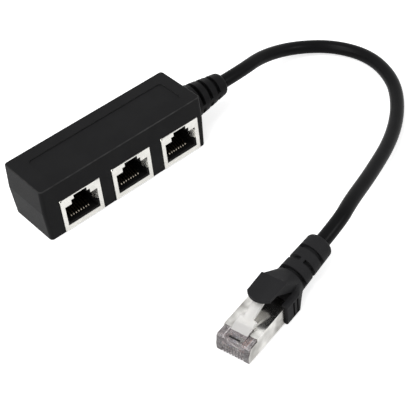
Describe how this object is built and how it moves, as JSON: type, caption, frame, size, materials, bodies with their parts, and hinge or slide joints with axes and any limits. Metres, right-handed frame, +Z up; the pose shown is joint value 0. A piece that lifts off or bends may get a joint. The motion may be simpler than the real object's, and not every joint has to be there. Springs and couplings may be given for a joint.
{
  "type": "rj45 splitter adapter",
  "caption": "Black moulded box with a row of shielded network sockets in its front, fed through its end by a short cable with a booted modular plug.",
  "frame": {"origin": "centre of the moulded box's bottom face, on the table plane", "axes": "+X along the box towards the end where the cable leaves, -Y towards the side that the sockets open to, +Z up"},
  "size_m": [0.1424, 0.1056, 0.0217],
  "materials": {
    "housing": "fine satin, soft PVC",
    "cable_jacket": "satin",
    "boot": "matt",
    "jack_shield": "bright tinned sheet",
    "plug_shield": "nickel plated, polished",
    "jack_insert": "matt",
    "gold_contact": "gold plated",
    "circuit_board": "solder mask",
    "plug_clear": "clear moulded plastic",
    "wire_orange": "satin",
    "wire_green": "satin",
    "wire_blue": "satin",
    "wire_brown": "satin"
  },
  "bodies": {
    "root": {"jack_1_shield": "jack_shield", "jack_1_insert": "jack_insert", "jack_1_contact_1": "gold_contact", "jack_1_contact_2": "gold_contact", "jack_1_contact_3": "gold_contact", "jack_1_contact_4": "gold_contact", "jack_1_contact_5": "gold_contact", "jack_1_contact_6": "gold_contact", "jack_1_contact_7": "gold_contact", "jack_1_contact_8": "gold_contact", "jack_2_shield": "jack_shield", "jack_2_insert": "jack_insert", "jack_2_contact_1": "gold_contact", "jack_2_contact_2": "gold_contact", "jack_2_contact_3": "gold_contact", "jack_2_contact_4": "gold_contact", "jack_2_contact_5": "gold_contact", "jack_2_contact_6": "gold_contact", "jack_2_contact_7": "gold_contact", "jack_2_contact_8": "gold_contact", "jack_3_shield": "jack_shield", "jack_3_insert": "jack_insert", "jack_3_contact_1": "gold_contact", "jack_3_contact_2": "gold_contact", "jack_3_contact_3": "gold_contact", "jack_3_contact_4": "gold_contact", "jack_3_contact_5": "gold_contact", "jack_3_contact_6": "gold_contact", "jack_3_contact_7": "gold_contact", "jack_3_contact_8": "gold_contact", "circuit_board": "circuit_board", "housing_wire_pair_1": "wire_orange", "plug_wire_pair_1": "wire_orange", "housing_wire_pair_2": "wire_green", "plug_wire_pair_2": "wire_green", "housing_wire_pair_3": "wire_blue", "plug_wire_pair_3": "wire_blue", "housing_wire_pair_4": "wire_brown", "plug_wire_pair_4": "wire_brown", "cable": "cable_jacket", "plug_body": "plug_clear", "plug_shield": "plug_shield", "plug_contact_1": "gold_contact", "plug_contact_2": "gold_contact", "plug_contact_3": "gold_contact", "plug_contact_4": "gold_contact", "plug_contact_5": "gold_contact", "plug_contact_6": "gold_contact", "plug_contact_7": "gold_contact", "plug_contact_8": "gold_contact", "plug_boot": "boot", "moulded_housing": "housing"}
  },
  "joints": []
}
